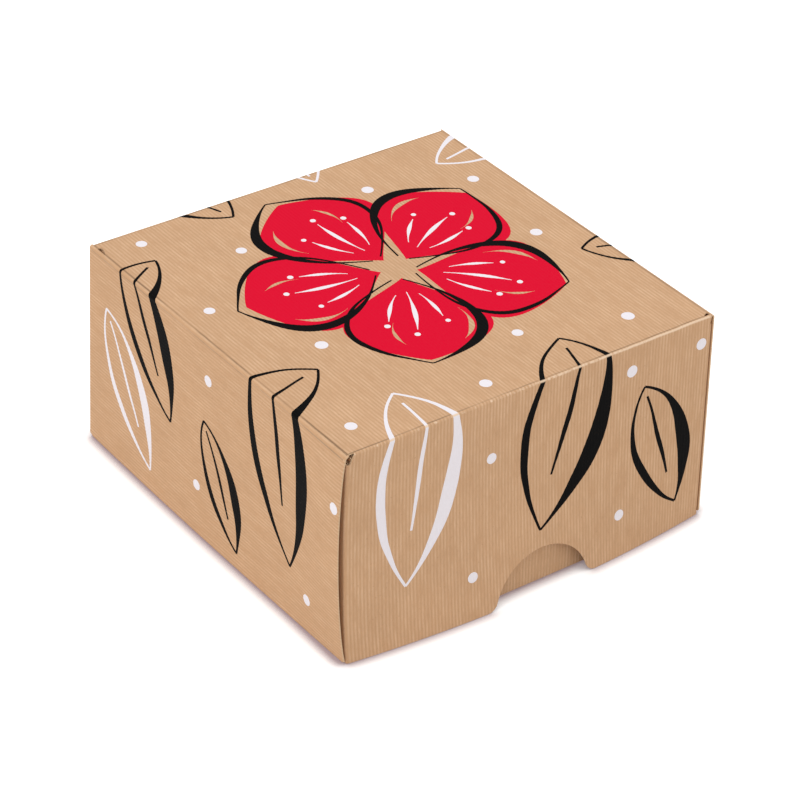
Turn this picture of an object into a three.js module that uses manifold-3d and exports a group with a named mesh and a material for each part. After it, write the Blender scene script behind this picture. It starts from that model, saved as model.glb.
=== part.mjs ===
// Square two-piece gift box of ribbed kraft board: a full-depth lid over a base tray.
// Each half is folded from one creased blank. Its left and right walls roll over into two
// plies, which trap the end tabs of the single front and back walls.
// Millimetres, +Z up, the front faces -Y, the origin is on the floor under the middle.

import * as THREE from 'three';
import { mergeVertices } from 'three/addons/utils/BufferGeometryUtils.js';
import Module from 'manifold-3d';

// Sizes of the closed box
const lidWidth = 150; // left to right, outside the lid
const lidDepth = 150; // front to back, outside the lid, at its top
const boxHeight = 80; // floor to the top of the closed lid
const depthFlare = 2.8; // the feet of the front and back walls stand out this far past the top

// Board and folds
const board = 0.5; // thickness of the ribbed kraft board
const creaseRadius = 1; // outside radius of a single fold
const plyGap = 0.2; // air between the layers of a double wall

// Fits
const lidClearance = 0.3; // air on each side between the lid and the base
const floorGap = 0.2; // the lid's walls end this far above the floor
const lidSeat = 0.2; // air between the base's rims and the lid's top panel
const plyEndGap = 0.8; // from the end of an inner ply to the front or back wall
const plyTopGap = 0.3; // from the free edge of an inner ply to the panel
const tabEdgeGap = 1.4; // from a tab's edges to the panel and to the rim
const singleWallDrop = 0.6; // the base's front and back walls stop this far under its rims

// End tabs trapped in the double walls
const tabLength = 34; // from the outside of the front or back wall
const tabTaper = 3; // each long edge of a tab closes in by this much
const tabCornerRadius = 5;

// Free edges and corners of the lid
const plyCornerRadius = 0.8; // lower corners of an outer ply
const wallNickWidth = 3.6; // relief at the upper corners of the front and back walls
const wallNickHeight = 3;
const panelNickLength = 5.5; // relief at the rear corners of the top panel, along the side crease
const panelNickWidth = 2.4;
const panelNickSetback = 1; // board left between that relief and the rear crease

// The skirt of the lid springs outwards along its free lower edge
const frontBow = 4.8; // front and back walls, at the middle of the lower edge
const sideBow = 1; // left and right walls

// Thumb notches in the lower edge of the lid's front and back walls
const notchWidth = 39;
const notchHeight = 16.8;
const notchOffset = 2.4; // to the right of the wall's middle, seen from outside
const notchShoulder = 4; // radius where the notch runs into the lower edge

// How finely bends and bowed walls are divided; a flat wall needs no division
const bendSteps = 4;
const rimSteps = 6;
const bowedSteps = { along: 12, up: 6 };
const flatSteps = { along: 1, up: 1 };

const doubleWall = 3 * board + 2 * plyGap;
const rimRadius = doubleWall / 2;
const creaseMiddle = creaseRadius - board / 2;
const rimMiddle = rimRadius - board / 2;
const overcut = 2; // a cutter reaches past the board by this much

const kraft = { color: 0xd3a983, roughness: 0.86, metalness: 0, flatShading: true };
const kraftShade = { color: 0xc49b77, roughness: 0.88, metalness: 0, flatShading: true };

const wasm = await Module();
wasm.setup();

const box = new THREE.Group();

// A closed geometry with shared vertices, its faces pointing out
function closedGeometry(geometry) {
  const bare = new THREE.BufferGeometry();
  bare.setAttribute('position', geometry.getAttribute('position'));
  if (geometry.index) bare.setIndex(geometry.index);
  const merged = mergeVertices(bare, 1e-5);
  const position = merged.getAttribute('position');
  const index = Array.from(merged.index.array);
  const [a, b, c] = [new THREE.Vector3(), new THREE.Vector3(), new THREE.Vector3()];
  let volume = 0;
  for (let i = 0; i < index.length; i += 3) {
    a.fromBufferAttribute(position, index[i]);
    b.fromBufferAttribute(position, index[i + 1]);
    c.fromBufferAttribute(position, index[i + 2]);
    volume += a.dot(b.cross(c));
  }
  if (volume < 0) {
    for (let i = 0; i < index.length; i += 3) {
      [index[i + 1], index[i + 2]] = [index[i + 2], index[i + 1]];
    }
  }
  merged.setIndex(index);
  return merged;
}

function toSolid(geometry) {
  const closed = closedGeometry(geometry);
  return new wasm.Manifold(new wasm.Mesh({
    numProp: 3,
    vertProperties: new Float32Array(closed.getAttribute('position').array),
    triVerts: new Uint32Array(closed.index.array),
  }));
}

function toGeometry(solid) {
  const mesh = solid.getMesh();
  const geometry = new THREE.BufferGeometry();
  geometry.setAttribute('position', new THREE.BufferAttribute(new Float32Array(mesh.vertProperties), 3));
  geometry.setIndex(new THREE.BufferAttribute(new Uint32Array(mesh.triVerts), 1));
  return geometry;
}

function cut(geometry, cutters) {
  const whole = toSolid(geometry);
  return toGeometry(cutters.reduce((solid, cutter) => solid.subtract(toSolid(cutter)), whole));
}

function trim(geometry, outline) {
  return toGeometry(toSolid(geometry).intersect(toSolid(outline)));
}

// A flat outline pushed along one axis. The outline is drawn in the two other axes, in X, Y, Z order.
function prism(outline, axis, from, to) {
  const geometry = new THREE.ExtrudeGeometry(outline, {
    depth: to - from,
    bevelEnabled: false,
    curveSegments: 10,
  });
  geometry.translate(0, 0, from);
  const place = new THREE.Matrix4();
  if (axis === 'x') place.set(0, 0, 1, 0, 1, 0, 0, 0, 0, 1, 0, 0, 0, 0, 0, 1);
  if (axis === 'y') place.set(1, 0, 0, 0, 0, 0, 1, 0, 0, 1, 0, 0, 0, 0, 0, 1);
  return geometry.applyMatrix4(place);
}

// Walks along the middle of a folded sheet. Each stop is one point on either face.
function foldPath(start, heading, moves) {
  const stops = [];
  let [a, b] = start;
  let angle = heading;
  const stop = () => {
    const [na, nb] = [-Math.sin(angle) * board / 2, Math.cos(angle) * board / 2];
    stops.push([[a + na, b + nb], [a - na, b - nb]]);
  };
  stop();
  for (const move of moves) {
    const steps = move.steps;
    for (let i = 0; i < steps; i += 1) {
      if (move.run) {
        a += Math.cos(angle) * move.run / steps;
        b += Math.sin(angle) * move.run / steps;
      } else {
        const [ca, cb] = [a - Math.sin(angle) * move.radius, b + Math.cos(angle) * move.radius];
        angle += move.bend / steps;
        a = ca + Math.sin(angle) * move.radius;
        b = cb - Math.cos(angle) * move.radius;
      }
      stop();
    }
  }
  return stops;
}

// A folded sheet: the fold path repeated at each station along the fold, closed all round
function foldedSheet(stops, stations, place) {
  const positions = [];
  const index = [];
  const rows = stops.length;
  stations.forEach((s) => stops.forEach((pair) => pair.forEach(([a, b]) => {
    positions.push(...place(a, b, s));
  })));
  const at = (k, i, face) => (k * rows + i) * 2 + face;
  const quad = (p, q, r, t) => index.push(p, q, r, p, r, t);
  for (let k = 0; k < stations.length - 1; k += 1) {
    for (let i = 0; i < rows - 1; i += 1) {
      quad(at(k, i, 0), at(k + 1, i, 0), at(k + 1, i + 1, 0), at(k, i + 1, 0));
      quad(at(k, i, 1), at(k, i + 1, 1), at(k + 1, i + 1, 1), at(k + 1, i, 1));
    }
    quad(at(k, 0, 0), at(k, 0, 1), at(k + 1, 0, 1), at(k + 1, 0, 0));
    quad(at(k, rows - 1, 0), at(k + 1, rows - 1, 0), at(k + 1, rows - 1, 1), at(k, rows - 1, 1));
  }
  const last = stations.length - 1;
  for (let i = 0; i < rows - 1; i += 1) {
    quad(at(0, i, 0), at(0, i + 1, 0), at(0, i + 1, 1), at(0, i, 1));
    quad(at(last, i, 0), at(last, i, 1), at(last, i + 1, 1), at(last, i + 1, 0));
  }
  const geometry = new THREE.BufferGeometry();
  geometry.setAttribute('position', new THREE.Float32BufferAttribute(positions, 3));
  geometry.setIndex(index);
  return closedGeometry(geometry);
}

function evenly(from, to, steps) {
  return Array.from({ length: steps + 1 }, (_, i) => from + (to - from) * i / steps);
}

// Widens or narrows a half from front to back, by nothing at its large panel and by its whole flare
// at the free edges of its walls
function flareOut(half, geometry) {
  const position = geometry.getAttribute('position');
  for (let i = 0; i < position.count; i += 1) {
    const height = Math.abs(position.getZ(i) - half.level(0));
    const share = (half.flare / half.halfDepth) * (height / half.wallHeight);
    position.setY(i, position.getY(i) * (1 + share));
  }
  return geometry;
}

function addPiece(name, half, geometry) {
  const mesh = new THREE.Mesh(flareOut(half, geometry), new THREE.MeshStandardMaterial(half.finish));
  mesh.name = name;
  box.add(mesh);
}

// The two halves. Heights in a half are measured from the outside of its large panel, so
// level() turns them the right way up.
const lid = {
  name: 'lid',
  panel: 'lid_top_panel',
  halfWidth: lidWidth / 2,
  halfDepth: lidDepth / 2,
  wallHeight: boxHeight - floorGap,
  endWallHeight: boxHeight - floorGap,
  flare: depthFlare,
  level: (height) => boxHeight - height,
  frontBow,
  sideBow,
  steps: bowedSteps,
  finish: kraft,
};

const base = {
  name: 'base',
  panel: 'base_floor_panel',
  halfWidth: lid.halfWidth - doubleWall - lidClearance,
  halfDepth: lid.halfDepth + depthFlare - board - lidClearance,
  wallHeight: boxHeight - board - lidSeat,
  endWallHeight: boxHeight - board - lidSeat - singleWallDrop,
  flare: -depthFlare,
  level: (height) => height,
  frontBow: 0,
  sideBow: 0,
  steps: flatSteps,
  finish: kraftShade,
};

// Where the upright fold between an end wall and its tab begins, left and right of the middle
function cornerFold(half) {
  return half.halfWidth - board - plyGap - creaseRadius;
}

// How far the skirt stands out at a place along a wall and a height from the panel
function bow(amount, along, halfLength, height, wallHeight) {
  const share = Math.max(0, 1 - (along / halfLength) ** 2);
  return amount * share * (height / wallHeight) ** 2;
}

function placeSideWall(half, side) {
  return (a, height, s) => {
    const out = bow(half.sideBow, s, half.halfDepth, height, half.wallHeight);
    return [side * (a + out), s, half.level(height)];
  };
}

function placeEndWall(half, side) {
  return (a, height, s) => {
    const out = bow(half.frontBow, s, cornerFold(half), height, half.wallHeight);
    return [s, side * (a + out), half.level(height)];
  };
}

function placeTab(half, sideX, sideY) {
  return (a, b, height) => {
    const out = bow(half.sideBow, b, half.halfDepth, height, half.wallHeight);
    return [sideX * (a + out), sideY * b, half.level(height)];
  };
}

// The large square panel: the lid's top or the base's floor
function panelOutline(half) {
  const x = half.halfWidth - creaseRadius;
  const y = half.halfDepth - creaseRadius;
  const outline = new THREE.Shape();
  outline.moveTo(-x, -y);
  outline.lineTo(x, -y);
  if (half === lid) {
    const rear = y - panelNickSetback;
    outline.lineTo(x, rear - panelNickLength);
    outline.lineTo(x - panelNickWidth, rear - panelNickWidth / 2);
    outline.lineTo(x, rear);
  }
  outline.lineTo(x, y);
  outline.lineTo(-x, y);
  if (half === lid) {
    const rear = y - panelNickSetback;
    outline.lineTo(-x, rear);
    outline.lineTo(-x + panelNickWidth, rear - panelNickWidth / 2);
    outline.lineTo(-x, rear - panelNickLength);
  }
  return outline;
}

function makePanel(half) {
  const [low, high] = [half.level(0), half.level(board)].sort((p, q) => p - q);
  addPiece(half.panel, half, closedGeometry(prism(panelOutline(half), 'z', low, high)));
}

// Crease and outer ply of a left or right wall, down to where its rim begins
function makeOuterPly(half, side, word) {
  const crease = creaseRadius;
  const flat = half.wallHeight - rimRadius - crease;
  const stops = foldPath([half.halfWidth - crease, board / 2], 0, [
    { bend: Math.PI / 2, radius: creaseMiddle, steps: bendSteps },
    { run: flat, steps: half.steps.up },
  ]);
  const stations = evenly(-half.halfDepth, half.halfDepth, half.steps.along);
  const sheet = foldedSheet(stops, stations, placeSideWall(half, side));
  const reach = half.halfWidth + half.sideBow + overcut;
  const [from, to] = side > 0 ? [0, reach] : [-reach, 0];
  const outline = prism(outerPlyOutline(half), 'x', from, to);
  addPiece(`${half.name}_${word}_outer_wall`, half, trim(sheet, outline));
}

// Seen from the side: rounded corners beside the rim
function outerPlyOutline(half) {
  const y = half.halfDepth;
  const corner = plyCornerRadius;
  const open = half.level(-overcut);
  const bend = half.level(half.wallHeight - rimRadius - corner);
  const bottom = half.level(half.wallHeight - rimRadius);
  const outline = new THREE.Shape();
  outline.moveTo(-y, open);
  outline.lineTo(y, open);
  outline.lineTo(y, bend);
  outline.quadraticCurveTo(y, bottom, y - corner, bottom);
  outline.lineTo(-y + corner, bottom);
  outline.quadraticCurveTo(-y, bottom, -y, bend);
  return outline;
}

function innerHalfLength(half) {
  return half.halfDepth - board - plyEndGap;
}

// The rolled rim that joins the two plies
function makeRim(half, side, word) {
  const start = [half.halfWidth - board / 2, half.wallHeight - rimRadius];
  const stops = foldPath(start, Math.PI / 2, [
    { bend: Math.PI, radius: rimMiddle, steps: rimSteps },
  ]);
  const length = innerHalfLength(half);
  const stations = evenly(-length, length, half.steps.along);
  const sheet = foldedSheet(stops, stations, placeSideWall(half, side));
  addPiece(`${half.name}_${word}_rim`, half, sheet);
}

// Inner ply, from the rim back to the inside of the panel
function makeInnerPly(half, side, word) {
  const middle = half.halfWidth - doubleWall + board / 2;
  const start = half.wallHeight - rimRadius;
  const end = board + plyTopGap;
  const stops = foldPath([middle, start], -Math.PI / 2, [
    { run: start - end, steps: half.steps.up },
  ]);
  const length = innerHalfLength(half);
  const stations = evenly(-length, length, half.steps.along);
  const sheet = foldedSheet(stops, stations, placeSideWall(half, side));
  addPiece(`${half.name}_${word}_inner_wall`, half, sheet);
}

// Crease and single ply of a front or back wall
function makeEndWall(half, side, word) {
  const stops = foldPath([half.halfDepth - creaseRadius, board / 2], 0, [
    { bend: Math.PI / 2, radius: creaseMiddle, steps: bendSteps },
    { run: half.endWallHeight - creaseRadius, steps: half.steps.up },
  ]);
  const fold = cornerFold(half);
  const stations = evenly(-fold, fold, 2 * half.steps.along);
  const sheet = foldedSheet(stops, stations, placeEndWall(half, side));
  const reach = half.halfDepth + half.frontBow + overcut;
  const [from, to] = side > 0 ? [0, reach] : [-reach, 0];
  const cutters = [-1, 1].map((end) => prism(wallNickOutline(half, end), 'y', from, to));
  if (half === lid) cutters.push(prism(notchOutline(-side * notchOffset), 'y', from, to));
  addPiece(`${half.name}_${word}_wall`, half, cut(sheet, cutters));
}

// Triangular relief where an end wall meets the panel's corner
function wallNickOutline(half, end) {
  const fold = cornerFold(half) + overcut;
  const inner = half.halfWidth - wallNickWidth;
  const low = half.level(creaseRadius + wallNickHeight);
  const high = half.level(-overcut);
  const outline = new THREE.Shape();
  outline.moveTo(end * fold, low);
  outline.lineTo(end * cornerFold(half), low);
  outline.lineTo(end * inner, half.level(board));
  outline.lineTo(end * inner, high);
  outline.lineTo(end * fold, high);
  return outline;
}

// Round thumb notch whose shoulders run smoothly into the lower edge
function notchOutline(middle) {
  const edge = floorGap;
  const halfNotch = notchWidth / 2;
  const radius = (halfNotch ** 2 + notchHeight ** 2) / (2 * notchHeight);
  const centre = edge + notchHeight - radius;
  const shoulderLevel = edge + notchShoulder;
  const reach = Math.sqrt((radius + notchShoulder) ** 2 - (shoulderLevel - centre) ** 2);
  const meet = Math.atan2(shoulderLevel - centre, reach);
  const outline = new THREE.Shape();
  outline.moveTo(middle - reach, edge - overcut);
  outline.lineTo(middle + reach, edge - overcut);
  outline.lineTo(middle + reach, edge);
  outline.absarc(middle + reach, shoulderLevel, notchShoulder, -Math.PI / 2, -Math.PI + meet, true);
  outline.absarc(middle, centre, radius, meet, Math.PI - meet, false);
  outline.absarc(middle - reach, shoulderLevel, notchShoulder, -meet, -Math.PI / 2, true);
  return outline;
}

// Upright fold and tab at one end of a front or back wall
function makeTab(half, sideX, sideY, word) {
  const fold = cornerFold(half);
  const wall = half.halfDepth - board / 2;
  const stops = foldPath([fold, wall], 0, [
    { bend: -Math.PI / 2, radius: -creaseMiddle, steps: bendSteps },
    { run: tabLength - creaseRadius, steps: half.steps.up },
  ]);
  const stations = evenly(board + tabEdgeGap, half.endWallHeight, half.steps.up);
  const sheet = foldedSheet(stops, stations, placeTab(half, sideX, sideY));
  const reach = half.halfWidth + half.sideBow + overcut;
  const [from, to] = sideX > 0 ? [0, reach] : [-reach, 0];
  const outline = prism(tabOutline(half, sideY), 'x', from, to);
  addPiece(`${half.name}_${word}_tab`, half, trim(sheet, outline));
}

// Seen from the side: tapering edges and rounded free corners, full height at the fold
function tabOutline(half, sideY) {
  const fold = half.halfDepth - creaseRadius;
  const free = half.halfDepth - tabLength;
  const nick = creaseRadius + wallNickHeight;
  const near = board + tabEdgeGap;
  const far = half.wallHeight - rimRadius - tabEdgeGap;
  const radius = tabCornerRadius;
  const [high, low] = [near + tabTaper, far - tabTaper];
  const level = half.level;
  const outline = new THREE.Shape();
  outline.moveTo(sideY * (half.halfDepth + overcut), level(nick));
  outline.lineTo(sideY * fold, level(nick));
  outline.lineTo(sideY * (fold - nick), level(near));
  outline.lineTo(sideY * (free + radius), level(high));
  outline.quadraticCurveTo(sideY * free, level(high), sideY * free, level(high + radius));
  outline.lineTo(sideY * free, level(low - radius));
  outline.quadraticCurveTo(sideY * free, level(low), sideY * (free + radius), level(low));
  outline.lineTo(sideY * fold, level(far));
  outline.lineTo(sideY * fold, level(half.endWallHeight + overcut));
  outline.lineTo(sideY * (half.halfDepth + overcut), level(half.endWallHeight + overcut));
  return outline;
}

function makeHalf(half) {
  makePanel(half);
  makeEndWall(half, -1, 'front');
  makeEndWall(half, 1, 'back');
  for (const [side, word] of [[-1, 'left'], [1, 'right']]) {
    makeOuterPly(half, side, word);
    makeRim(half, side, word);
    makeInnerPly(half, side, word);
    makeTab(half, side, -1, `front_${word}`);
    makeTab(half, side, 1, `back_${word}`);
  }
}

makeHalf(lid);
makeHalf(base);

export default box;
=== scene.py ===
import math
from functools import partial

import bpy
from mathutils import Matrix, Vector
from mathutils.geometry import delaunay_2d_cdt


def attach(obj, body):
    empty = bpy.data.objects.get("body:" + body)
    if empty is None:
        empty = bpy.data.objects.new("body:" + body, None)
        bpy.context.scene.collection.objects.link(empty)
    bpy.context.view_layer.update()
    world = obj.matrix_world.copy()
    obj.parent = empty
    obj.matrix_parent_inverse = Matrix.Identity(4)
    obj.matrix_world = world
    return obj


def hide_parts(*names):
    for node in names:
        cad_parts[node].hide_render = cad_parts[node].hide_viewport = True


# Square gift box of ribbed kraft board: a full-depth lid over a base tray.
# Every panel is cut flat, where it lies in its blank, and then folded by one Geometry Nodes tree.
# Sizes are written in millimetres and become metres where a mesh, a modifier or a material takes them.

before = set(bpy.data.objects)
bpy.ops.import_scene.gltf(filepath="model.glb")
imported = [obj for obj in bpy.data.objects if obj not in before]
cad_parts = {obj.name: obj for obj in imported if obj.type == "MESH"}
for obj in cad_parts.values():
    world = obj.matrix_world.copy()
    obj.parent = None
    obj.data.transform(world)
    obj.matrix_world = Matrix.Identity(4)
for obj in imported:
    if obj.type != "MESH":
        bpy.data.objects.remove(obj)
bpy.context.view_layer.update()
mm = 0.001
print("frame loaded:", len(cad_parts), "nodes")


def addNode(tree, kind, inputs=(), operation=None, **settings):
    # a kind that shaders have is written without the ShaderNode in front; inputs go by order or by name, and
    # by number where names repeat: a colour Mix has its factor at 0, its colours at 6 and 7, the result at 2
    node = tree.nodes.new(kind if "Node" in kind else "ShaderNode" + kind)
    if operation:
        node.operation = operation
    for name, value in settings.items():
        setattr(node, name, value)
    for key, value in (inputs.items() if isinstance(inputs, dict) else enumerate(inputs)):
        if isinstance(value, bpy.types.Node):
            value = value.outputs[0]
        if isinstance(value, bpy.types.NodeSocket):
            tree.links.new(value, node.inputs[key])
        else:
            node.inputs[key].default_value = value
    return node


def linearColour(hexCode):
    channels = [((hexCode >> shift) & 255) / 255 for shift in (16, 8, 0)]
    linear = [c / 12.92 if c <= 0.04045 else ((c + 0.055) / 1.055) ** 2.4 for c in channels]
    return (*linear, 1.0)


def newObject(name, data):
    made = bpy.data.objects.new(name, data)
    bpy.context.scene.collection.objects.link(made)
    return made


geometry = {"Geometry": ["Geometry"]}


def newTree(name, sockets, results=geometry):
    tree = bpy.data.node_groups.new(name, "GeometryNodeTree")
    for side, kinds in (("INPUT", sockets), ("OUTPUT", results)):
        for kind, labels in kinds.items():
            for label in labels:
                tree.interface.new_socket(label, in_out=side, socket_type="NodeSocket" + kind)
    return tree, tree.nodes.new("NodeGroupInput").outputs, tree.nodes.new("NodeGroupOutput")


def endTree(tree, shape, result, finishes):
    # the first finish goes everywhere, the others where the faces carry their number
    add = partial(addNode, tree)
    made = add("GeometryNodeRealizeInstances", {"Geometry": shape})
    made = add("GeometryNodeSetMaterial", {"Geometry": made, "Material": finishes[0]})
    for number, finish in enumerate(finishes[1:], 1):
        asked = add("GeometryNodeInputNamedAttribute", {"Name": "finish"}, data_type="INT")
        chosen = add("FunctionNodeCompare", {2: asked, 3: number}, "EQUAL", data_type="INT")
        made = add("GeometryNodeSetMaterial", {"Geometry": made, "Selection": chosen, "Material": finish})
    tree.links.new(made.outputs[0], result.inputs[0])


def shapedMesh(data, tree, values):
    # an object holds the data only while the tree works on it
    holder = newObject("holder", data)
    modifier = holder.modifiers.new("shape", "NODES")
    modifier.node_group = tree
    for item in tree.interface.items_tree:
        if item.in_out == "INPUT" and item.name in values:
            modifier[item.identifier] = values[item.name]
    depsgraph = bpy.context.evaluated_depsgraph_get()
    made = holder.evaluated_get(depsgraph)
    mesh = bpy.data.meshes.new_from_object(made, preserve_all_data_layers=True, depsgraph=depsgraph)
    holder.modifiers.remove(modifier)
    bpy.data.objects.remove(holder)
    return mesh


# Sizes that every panel of the blanks shares
boardSizes = {
    "board": 0.5,  # ribbed kraft board
    "creaseRadius": 1.0,  # outside of a single fold
    "rimRadius": 0.95,  # outside of the rolled lower edge
    "plyGap": 0.2,
    "plyEndGap": 0.8,
    "plyTopGap": 0.3,
    "plyCornerRadius": 0.8,
    "tabEdgeGap": 1.4,
    "tabLength": 34.0,
    "tabTaper": 3.0,
    "tabCornerRadius": 5.0,
    "wallNickWidth": 3.6,  # open relief at an upper corner of a front or back wall
    "wallNickHeight": 2.5,
    "closedNick": 1.05,  # its width where the board has closed it up
    "ribPitch": 1.3,
    "ribHeight": 0.022,  # crest over the middle of the rib
    "faceDepth": 0.1,  # ribs reach what lies above this depth: the face and the ink on it
    "sideGroove": 0.16,  # how deep a crease along the ribs is scored
    "endGroove": 0.07,  # the same across the ribs
    "grooveWidth": 0.26,
    "grooveOverrun": 0.3,
    "springPower": 0.6,  # below 1, a sprung edge arches fuller than a sine
    "noRim": 1000.0,  # a rim that starts out of reach
}

# How finely a flat panel is divided
meshSizes = {
    "creaseSteps": 6,
    "rimSteps": 8,
    "rowSpacing": 5.0,
    "ribQuarters": 4,
    "grooveLines": (-0.6, -0.45, -0.3, -0.15),  # from the start of a crease
    "ribClear": 0.04,  # a rib line this near a crease line is left out
    "shoulderSteps": 6,
    "notchSteps": 28,
    "margin": 1.0,  # cutting lines run this far past a panel
    "nearest": 1e-4,  # corners nearer than this are one
    "wholeFaces": 4,  # the cutter's setting for cells that keep their outlines
}

halves = {
    "lid": {
        "body": "lid", "slot": "kraft_lid_board", "panel": "lid_top_panel",
        "halfWidth": 75.0, "halfDepth": 75.0, "wallHeight": 79.8, "endWallHeight": 79.8,
        "level": 80.0, "turnedOver": False, "flare": 2.8, "endBow": 4.8, "sideBow": 1.0,
        "notchWidth": 39.0, "notchHeight": 16.8, "notchShoulder": 4.0, "notchShift": 2.4,
        "innerPlyClip": (3.0, 8.5),  # cut off its upper corners: down and along
        "panelNick": (4.8, 1.35, 2.3),  # by the rear left corner: length, width, board behind it
        "panelNickShape": (0.3, 0.4),  # where along it is widest, and how much of that the front keeps
        "cornerNick": (2.8, 1.4),  # in the front right corner: along the front crease, into the panel
    },
    "base": {
        "body": "base", "slot": "kraft_base_board", "panel": "base_floor_panel",
        "halfWidth": 72.8, "halfDepth": 77.0, "wallHeight": 79.3, "endWallHeight": 78.7,
        "level": 0.0, "turnedOver": True, "flare": -2.8, "endBow": 0.0, "sideBow": 0.0,
    },
}


def measure(half):
    s = boardSizes
    crease, rim = s["creaseRadius"], s["rimRadius"]
    half["creaseLength"] = math.pi / 2 * (crease - s["board"] / 2)
    half["rimLength"] = math.pi * (rim - s["board"] / 2)
    half["foldX"] = half["halfWidth"] - crease
    half["foldY"] = half["halfDepth"] - crease
    half["cornerFold"] = half["halfWidth"] - s["board"] - s["plyGap"] - crease
    half["rimStart"] = half["foldX"] + half["creaseLength"] + half["wallHeight"] - rim - crease
    half["innerStart"] = half["rimStart"] + half["rimLength"]
    half["innerEnd"] = half["innerStart"] + half["wallHeight"] - rim - s["board"] - s["plyTopGap"]
    half["innerHalf"] = half["halfDepth"] - s["board"] - s["plyEndGap"]
    half["endEdge"] = half["foldY"] + half["creaseLength"] + half["endWallHeight"] - crease
    half["tabEnd"] = half["cornerFold"] + half["creaseLength"] + s["tabLength"] - crease


for half in halves.values():
    measure(half)


def foldValues(half, turn, cornerAngle=0.0, **extra):
    s = boardSizes
    side = turn in (0, 2)
    lengths = {
        "Level": half["level"], "Board": s["board"], "Rib Pitch": s["ribPitch"], "Rib Height": s["ribHeight"],
        "Side Crease": half["foldX"], "End Crease": half["foldY"],
        "Side Groove": s["sideGroove"], "End Groove": s["endGroove"], "Groove Width": s["grooveWidth"],
        "Corner Fold": half["cornerFold"], "Rim Radius": s["rimRadius"],
        "Rim Start": half["rimStart"] if side else s["noRim"],
        "Crease Start": half["foldX"] if side else half["foldY"], "Crease Radius": s["creaseRadius"],
        "Bow": half["sideBow"] if side else half["endBow"],
        "Bow Half Length": half["halfDepth"] if side else half["cornerFold"],
        "Tab Bow": 0.0, "Tab Bow Half Length": half["halfDepth"], "Wall Height": half["wallHeight"],
        "Spring": 0.0, "Sway": 0.0, "Spring Place": 0.0, "Spring Reach": 20.0, **extra,
    }
    values = {label: length * mm for label, length in lengths.items()}
    values["Turn"] = turn * math.pi / 2
    values["Corner Angle"] = cornerAngle
    values["Turned Over"] = float(half["turnedOver"])
    values["Flare"] = half["flare"] / half["halfDepth"]
    return values


# The folding trees: one line at a time, then a whole sheet
def makeFoldTree():
    # past its start line the board runs round the fold, and after the fold's angle straight on
    labels = ["Across", "Height", "Start", "Radius", "Board", "Angle"]
    tree, given, result = newTree("foldOverLine", {"Float": labels}, {"Float": labels[:2]})
    values = {label: given[label] for label in labels}
    for name, operation, *terms in (
        ("past", "SUBTRACT", "Across", "Start"),
        ("halfBoard", "MULTIPLY", "Board", 0.5),
        ("middle", "SUBTRACT", "Radius", "halfBoard"),
        ("turn", "DIVIDE", "past", "middle"),
        ("turn", "MAXIMUM", "turn", 0.0),
        ("turn", "MINIMUM", "turn", "Angle"),
        ("before", "MINIMUM", "past", 0.0),
        ("arc", "MULTIPLY", "middle", "Angle"),
        ("after", "SUBTRACT", "past", "arc"),
        ("after", "MAXIMUM", "after", 0.0),
        ("reach", "ADD", "Radius", "Height"),
        ("sine", "SINE", "turn"),
        ("cosine", "COSINE", "turn"),
        ("endSine", "SINE", "Angle"),
        ("endCosine", "COSINE", "Angle"),
        ("out", "ADD", "Start", "before"),
        ("out", "MULTIPLY_ADD", "reach", "sine", "out"),
        ("out", "MULTIPLY_ADD", "after", "endCosine", "out"),
        ("up", "MULTIPLY", "reach", "cosine"),
        ("up", "SUBTRACT", "up", "Radius"),
        ("down", "MULTIPLY", "after", "endSine"),
        ("up", "SUBTRACT", "up", "down"),
    ):
        values[name] = addNode(tree, "Math", [values.get(term, term) for term in terms], operation)
    tree.links.new(values["out"].outputs[0], result.inputs["Across"])
    tree.links.new(values["up"].outputs[0], result.inputs["Height"])
    return tree


def bell(tree, place, middle, reach):
    # 1 at the middle, falling away softly to both sides
    for operation, value in (("SUBTRACT", middle), ("DIVIDE", reach), ("POWER", 2.0), ("MULTIPLY", -1.0)):
        place = addNode(tree, "Math", [place, value], operation)
    return addNode(tree, "Math", [place], "EXPONENT")


sheetFinishes = ["Face Finish", "Back Finish", "Edge Finish"]


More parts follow.
